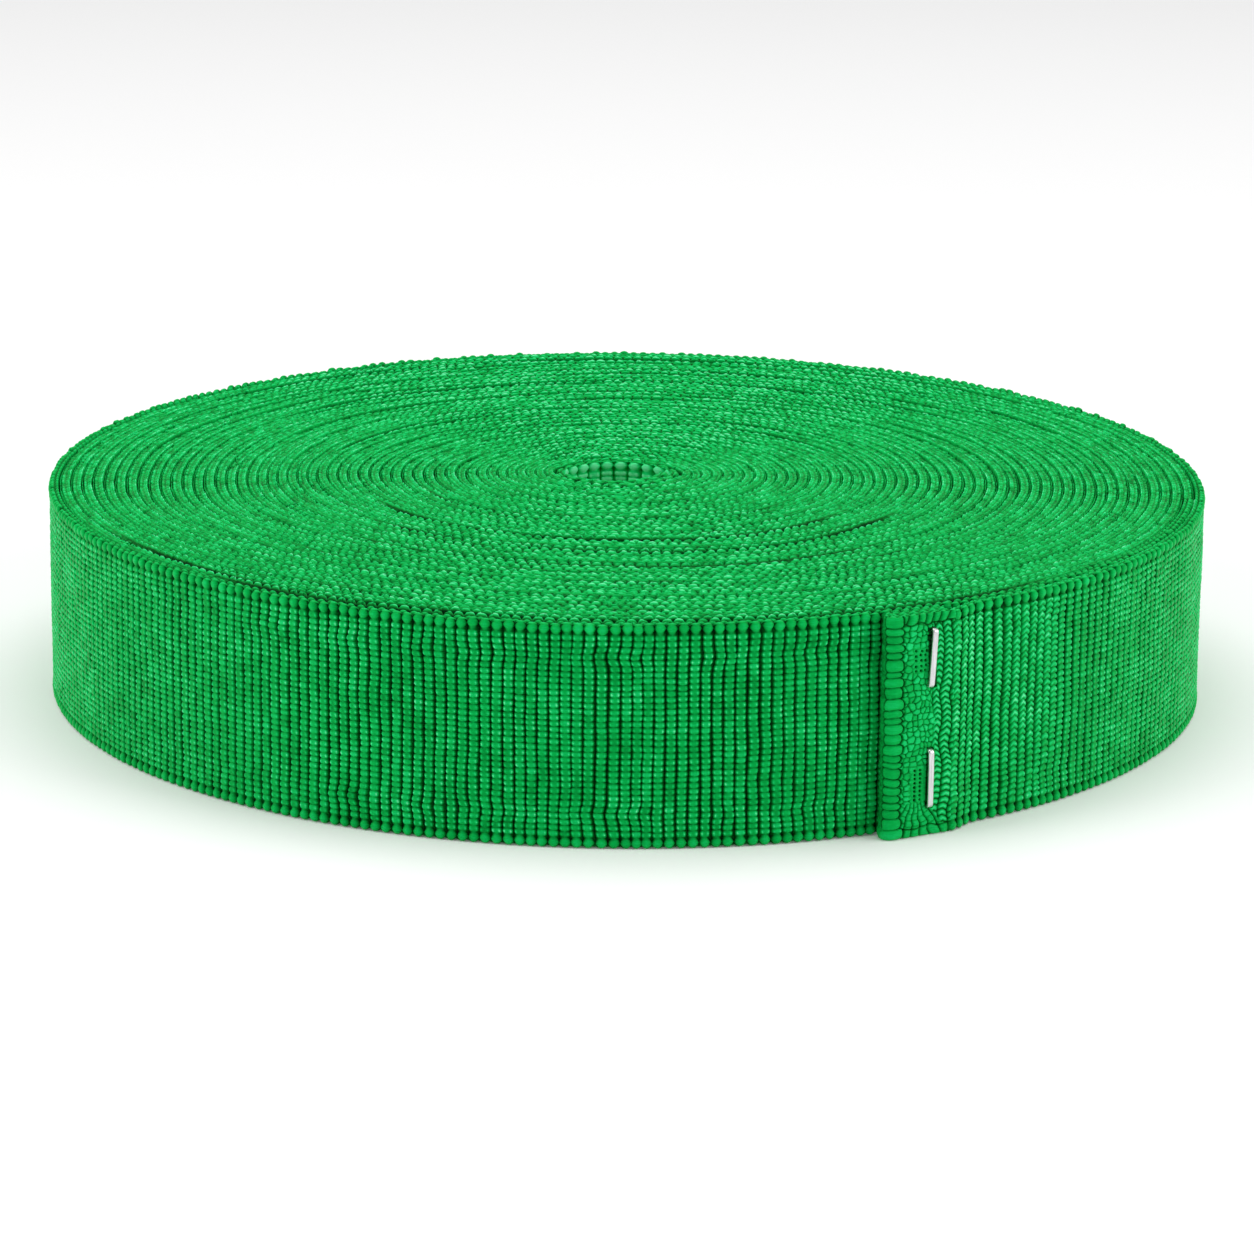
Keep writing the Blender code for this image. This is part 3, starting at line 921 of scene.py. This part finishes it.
def fold_column(place, z):
    """The fold's segments, and a narrow strip round the bend: relief, shade, cover, and the seam of each."""
    slant = 0.36 * MM * lattice_noise(place / (2.0 * MM), z / (6 * MM), 66)
    from_end, plump = stacked_segments(z + slant)
    segment, corner = rounded(from_end, SEGMENT_ROUND), rounded(from_end, SEGMENT_CORNER)
    edge = FOLD_WIDTH + 0.20 * MM * plump - 0.80 * MM * (1 - corner)
    cover = 1 - smooth_step(edge - 0.10 * MM, edge + 0.10 * MM, place)
    strip_edge = 0.25 * MM * lattice_noise(z / (2.5 * MM), 9.0, 71) - 0.20 * MM
    strip_edge = strip_edge + 0.50 * MM * (1 - corner)
    strip_seam = bell(place, strip_edge, 0.13 * MM)
    strip_seam = strip_seam * smooth_step(LOWEST_SEGMENT - 0.2 * MM, LOWEST_SEGMENT + 0.3 * MM, z)
    crease = lattice_noise(z / (0.42 * MM), place / (4 * MM), 72)
    belly = np.sqrt(np.clip(1 - ((place - 1.5 * MM) / (2.2 * MM)) ** 2, 0, 1))
    on_strip = place < strip_edge
    relief = np.where(on_strip, 0.70, 0.05 + 0.40 * segment + 0.25 * corner + 0.35 * belly)
    relief = relief + 0.12 * plump + 0.06 * crease
    # Painted shade: each segment darker at its ends and at the column's sides, lighter on its belly; plump
    # and crease vary it.
    tone = np.where(on_strip, 0.50, 0.06 + 0.34 * segment + 0.16 * corner + 0.16 * belly)
    tone = tone + 0.05 * plump + 0.06 * crease
    return relief, tone, cover, bell(place, edge, 0.17 * MM), strip_seam


def painted_wire_shadow(name, place, z):
    """Painted shadow in the gap round a staple's crown: 1 in it, and 0 in the cloth."""
    up = z - STAPLE_HEIGHTS[name]
    slant = up * math.tan(STAPLE_TILTS[name])
    beside = np.abs(place - STAPLE_SETBACK - 0.12 * MM - slant) - WIRE_WIDTH / 2
    gap = 1 - smooth_step(0.10 * MM, 0.32 * MM, beside)
    return gap * (1 - smooth_step(0.0, 0.3 * MM, np.abs(up) - STAPLE_CROWN / 2))


def crushed_cloth(place, z):
    """Outer face near the band's end: height above the groove bottoms in metres, and shade."""
    setback = np.abs(place)
    x, y = drawn_cloth(setback, z)
    height, shade = ribbed_cloth(x, y, 63)
    # Ribs give way to pebbles between the staples' line and the fold.
    cells, tone = cell_noise(x / PEBBLE_WIDTH, y / PEBBLE_HEIGHT, 64)
    pebble = rounded(cells, 1.0)
    wander = 0.7 * MM * lattice_noise(z / (3.5 * MM), 3.0, 65)
    pebbly = 1 - smooth_step(*PEBBLES_END, setback + wander)
    height = mixed(height, 0.20 + 0.80 * pebble * (1 + 0.20 * tone), pebbly)
    # Painted shade in the creases between the pebbles; each pebble's tone differs at random.
    shade = mixed(shade, 0.04 + 0.80 * pebble * (1 + 0.16 * tone), pebbly)
    for patch in PRESSED_PATCHES:
        hole = pinholes(setback, z, patch)
        pressed = bell(setback, PRESSED_MIDDLE, PRESSED_HALF, 6) * bell(z, patch[0], patch[1] + 0.3 * MM, 8)
        height = mixed(height, 0.80 + 0.10 * pebble - 0.9 * hole, pressed)
        # Painted shade in the holes.
        shade = mixed(shade, 0.72 - 0.72 * hole, pressed)
    fan_height, fan_dome, fan = fanned_cloth(setback, z)
    height = mixed(height, fan_height, fan)
    # Painted shade in the grooves between the fanned threads.
    shade = mixed(shade, 0.06 + 0.74 * fan_height, fan)
    knob, near_rim, rim_seam = rim_knobs(x, z, fan, fan_dome)
    height = mixed(height, 0.1 + 0.9 * knob, near_rim) - 0.45 * rim_seam
    # Painted shade between the knobs and along the rim's seam.
    shade = mixed(shade, 0.10 + 0.66 * knob, near_rim) * (1 - 0.65 * rim_seam)
    relief, fold_shade, folded, seam, strip_seam = fold_column(place, z)
    height = mixed(height, relief, folded) - 0.55 * seam - 0.45 * strip_seam
    # Painted shade along the fold's seam and the strip's seam.
    shade = mixed(shade, fold_shade, folded) * (1 - 0.75 * seam) * (1 - 0.70 * strip_seam)
    # Painted shadow round each staple's crown, on the cloth, so it stays where the crown lay when a staple
    # moves.
    for name in STAPLE_HEIGHTS:
        shade = shade * (1 - 0.85 * painted_wire_shadow(name, place, z))
    return (height - 1.0) * mixed(RIB_DEPTH, FOLD_DEPTH, folded), shade


def folded_end(material):
    points, normals, setback = fold_path()
    phase = (np.abs(setback) / RIB_PITCH) % 1.0
    rows = int(BAND_WIDTH / FOLD_ROW_STEP)
    z_face = np.linspace(FACE_MARGIN, BAND_WIDTH - FACE_MARGIN, rows)
    place, z = np.broadcast_arrays(setback[:, None], z_face[None, :])
    relief, shade = crushed_cloth(place, z)
    edge_drop = FACE_EDGE_DROP * (1 - np.clip(np.minimum(z, BAND_WIDTH - z) / FACE_EDGE, 0, 1)) ** 2
    outer = HALF_THICKNESS + 0.06 * MM + relief - edge_drop
    # The staples hold the cloth down along their crowns.
    outer = outer - CROWN_PRESS * bell(place, STAPLE_SETBACK, 2.0 * MM) * (place > 0)
    q_top, z_top, shade_top = edge_points(TOP_EDGE, BAND_WIDTH, phase, 1)
    q_low, z_low, shade_low = edge_points(BOTTOM_EDGE, 0.0, phase, -1)
    back_z = np.linspace(BAND_WIDTH - 0.5 * MM, 0.5 * MM, 34)[None, :] + 0 * setback[:, None]
    back = -HALF_THICKNESS + 0.30 * MM * (1 - rib_dome(phase))[:, None]
    offset = np.concatenate([outer, q_top * HALF_THICKNESS, back + 0 * back_z, q_low * HALF_THICKNESS], 1)
    height = np.concatenate([z, z_top, back_z, z_low], 1)
    tone = np.concatenate([shade, shade_top, 0.45 + 0 * back_z, shade_low], 1)
    flat = points[:, None, :] + normals[:, None, :] * offset[..., None]
    rings = np.concatenate([flat, height[..., None]], -1)
    cloth = cloth_of(setback[:, None], height)
    return add_piece("folded_end_cloth", grid_mesh("folded_end_cloth", rings, tone, cloth), material)


# ---------------- staples

CROWN_SPRING = 0.05 * MM


def wire_path():
    """The wire's middle line, as distance out of the cloth and height, with each point's outward normal."""
    half_crown = (STAPLE_CROWN - WIRE_THICKNESS) / 2
    crown_y = GAP / 2 + WIRE_THICKNESS / 2
    tip_y = crown_y + WIRE_THICKNESS / 2 - STAPLE_LEG
    bend = STAPLE_CORNER - WIRE_THICKNESS / 2
    straight = half_crown - bend
    places, normals = [], []

    def at(y, z, ny, nz):
        places.append((y, z))
        normals.append((ny, nz))

    def round_bend(first, last, middle):
        for angle in np.linspace(first, last, 10):
            ny, nz = math.cos(angle), math.sin(angle)
            at(crown_y - bend + bend * ny, middle + bend * nz, ny, nz)

    for y in np.linspace(tip_y, crown_y - bend, 8, endpoint=False):
        at(y, half_crown, 0.0, 1.0)
    round_bend(math.pi / 2, 0, straight)
    for z in np.linspace(straight, -straight, 12)[1:-1]:
        # A crown is never quite straight: it springs up a little in the middle.
        at(crown_y + CROWN_SPRING * math.cos(z / half_crown * math.pi / 2), z, 1.0, 0.0)
    round_bend(0, -math.pi / 2, -straight)
    for y in np.linspace(crown_y - bend, tip_y, 9)[1:]:
        at(y, -half_crown, 0.0, -1.0)
    return np.array(places), np.array(normals)


def wire_section():
    """A flat wire's section: rounded edges and a slightly crowned face."""
    angles = np.linspace(0, math.tau, 20, endpoint=False)
    across, out = np.cos(angles), np.sin(angles)
    across = np.copysign(np.abs(across) ** 0.35, across) * WIRE_WIDTH / 2
    return across, np.copysign(np.abs(out) ** 0.55, out) * WIRE_THICKNESS / 2


def staple(name, material):
    places, normals = wire_path()
    across, out = wire_section()
    side = np.broadcast_to(across, (len(places), len(across)))
    proud = places[:, :1] + normals[:, :1] * out
    height = places[:, 1:] + normals[:, 1:] * out
    # Chisel points
    proud[[0, -1]] -= out
    tilt = STAPLE_TILTS[name]
    x = side * math.cos(tilt) + height * math.sin(tilt)
    z = height * math.cos(tilt) - side * math.sin(tilt)
    outwards = outward(STAPLE_WOUND)
    to_end = np.array([outwards[1], -outwards[0]])
    face = winding_point(STAPLE_WOUND, TURN_PITCH + CAD_HALF)
    flat = face + outwards * proud[..., None] + to_end * x[..., None]
    rings = np.concatenate([flat, (z + STAPLE_HEIGHTS[name])[..., None]], -1)
    mesh = grid_mesh(f"{name}_wire", rings, np.ones(rings.shape[:2]), rings * 0)
    return add_piece(f"{name}_wire", mesh, material)


# ---------------- putting it together


def ride_on(piece, body, nodes=()):
    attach(piece, body)
    if nodes:
        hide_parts(*nodes)


def pieces_between(first, last, count):
    """The ribs from first to last cut into so many stretches: each one's number, first rib and last rib."""
    cuts = np.linspace(first, last, count + 1).round().astype(int)
    return zip(range(1, count + 1), cuts, cuts[1:])


def build_roll(material):
    tail_rib = rib_nearest(TAIL_WOUND)
    under_tail_rib = rib_nearest(TAIL_WOUND + math.tau)
    # The eye's ribs are plumper: two of them fill the room of three.
    eye_rib = 3 * (rib_nearest(INNER_WOUND - EYE_TURNS * math.tau) // 3)
    first_eye_rib = eye_rib * 2 // 3
    last_eye_rib = int((length_at(INNER_WOUND) - FIRST_GROOVE) / EYE_RIB_PITCH)
    for number, first, last in pieces_between(tail_rib, under_tail_rib, OUTER_PIECES):
        piece = detailed_strip(f"outer_turn_{number}", first, last, material, False, BAND_SEED)
        ride_on(piece, "wound_band", ("band_outer_turns",))
    nodes = ("band_middle_turns", "band_inner_turns", "band_core_turns")
    for number, first, last in pieces_between(under_tail_rib, eye_rib, WOUND_PIECES):
        piece = wound_turns(f"wound_turns_{number}", first, last, material)
        ride_on(piece, "wound_band", nodes)
    cuts = (first_eye_rib, (first_eye_rib + last_eye_rib) // 2, last_eye_rib)
    for number, (first, last) in enumerate(zip(cuts, cuts[1:]), 1):
        piece = detailed_strip(
            f"eye_turn_{number}", first, last, material, True, EYE_SEED, pitch=EYE_RIB_PITCH
        )
        ride_on(piece, "wound_band", ("band_core_turns",))


def build_tail(material):
    """The free end: each stretch bends from one hinge to the next, and its ends meet its neighbours'."""
    stretch_wound = (TAIL_WOUND - FOLDED_WOUND) / TAIL_STRETCHES
    grooves = [rib_nearest(TAIL_WOUND - stretch_wound * i) for i in range(TAIL_STRETCHES + 1)]
    for i in range(TAIL_STRETCHES):
        piece = detailed_strip(
            f"tail_cloth_{i + 1}", grooves[i + 1], grooves[i], material, True, BAND_SEED, tail_lift
        )
        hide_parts(f"tail_stretch_{i + 1}")
        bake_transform(piece)
    piece = folded_end(material)
    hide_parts("folded_end")
    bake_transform(piece)


def build_staples(material):
    for name in STAPLE_HEIGHTS:
        piece = staple(name, material)
        ride_on(piece, name, (name,))


def add_light(name, location, target, size, power):
    lamp = bpy.data.lights.new(name, "AREA")
    lamp.shape = "RECTANGLE"
    lamp.size, lamp.size_y = size
    lamp.energy = power
    obj = bpy.data.objects.new(name, lamp)
    bpy.context.scene.collection.objects.link(obj)
    obj.location = location
    obj.rotation_mode = "QUATERNION"
    obj.rotation_quaternion = (Vector(target) - Vector(location)).to_track_quat("-Z", "Y")


WORLD_STRENGTH = 0.30
FLOOR_HALF = 8.0
# The sweep behind the roll glows a little more the farther it is: distances in metres, and strengths.
GLOW_FROM, GLOW_TO = (0.35, 0.08), (2.2, 0.36)


def build_floor():
    half = FLOOR_HALF
    corners = [(-half, -half, 0), (half, -half, 0), (half, half, 0), (-half, half, 0)]
    mesh = bpy.data.meshes.new("floor")
    mesh.from_pydata(corners, [], [(0, 1, 2, 3)])
    material, tree, shader = node_tree("floor_white")
    shader.inputs["Base Color"].default_value = (0.93, 0.93, 0.93, 1)
    shader.inputs["Roughness"].default_value = 0.9
    shader.inputs["Specular IOR Level"].default_value = 0.1
    shader.inputs["Emission Color"].default_value = (1, 1, 1, 1)
    place = tree.nodes.new("ShaderNodeTexCoord")
    away = tree.nodes.new("ShaderNodeVectorMath")
    away.operation = "LENGTH"
    tree.links.new(place.outputs["Object"], away.inputs[0])
    glow = tree.nodes.new("ShaderNodeMapRange")
    glow.inputs["From Min"].default_value, glow.inputs["To Min"].default_value = GLOW_FROM
    glow.inputs["From Max"].default_value, glow.inputs["To Max"].default_value = GLOW_TO
    tree.links.new(away.outputs["Value"], glow.inputs["Value"])
    tree.links.new(glow.outputs["Result"], shader.inputs["Emission Strength"])
    add_piece("floor", mesh, material)


def build_stage():
    scene = bpy.context.scene
    scene.view_settings.view_transform = "Standard"
    scene.view_settings.look = "None"
    world = bpy.data.worlds.new("studio")
    world.use_nodes = True
    background = world.node_tree.nodes["Background"]
    background.inputs["Color"].default_value = (1, 1, 1, 1)
    background.inputs["Strength"].default_value = WORLD_STRENGTH
    scene.world = world
    build_floor()
    add_light("softbox_top", (0.0, 0.15, 1.25), (0, 0, 0), (1.3, 1.1), 11)
    add_light("softbox_left", (-1.15, -0.35, 0.55), (0, 0, 0.02), (0.9, 0.8), 7)
    add_light("softbox_right", (1.15, -0.35, 0.55), (0, 0, 0.02), (0.9, 0.8), 7)


CAMERA_ELEVATION = math.radians(14.81)
CAMERA_DISTANCE = 0.970
CAMERA_ROLL = math.radians(0.53)
CAMERA_LENS = 145.9
CAMERA_SHIFT = (0.0009, -0.0415)


def build_camera():
    data = bpy.data.cameras.new("camera")
    data.sensor_width = 36.0
    data.lens = CAMERA_LENS
    data.shift_x, data.shift_y = CAMERA_SHIFT
    data.clip_start, data.clip_end = 0.05, 50.0
    camera = bpy.data.objects.new("camera", data)
    bpy.context.scene.collection.objects.link(camera)
    target = Vector((0, 0, BAND_WIDTH / 2))
    back = Vector((0, -math.cos(CAMERA_ELEVATION), math.sin(CAMERA_ELEVATION)))
    camera.location = target + back * CAMERA_DISTANCE
    camera.rotation_mode = "QUATERNION"
    aim = (-back).to_track_quat("-Z", "Y")
    camera.rotation_quaternion = aim @ Quaternion((0, 0, 1), CAMERA_ROLL)
    bpy.context.scene.camera = camera


cloth_material = elastic_material()
build_roll(cloth_material)
build_tail(cloth_material)
build_staples(steel_material())
build_stage()
build_camera()
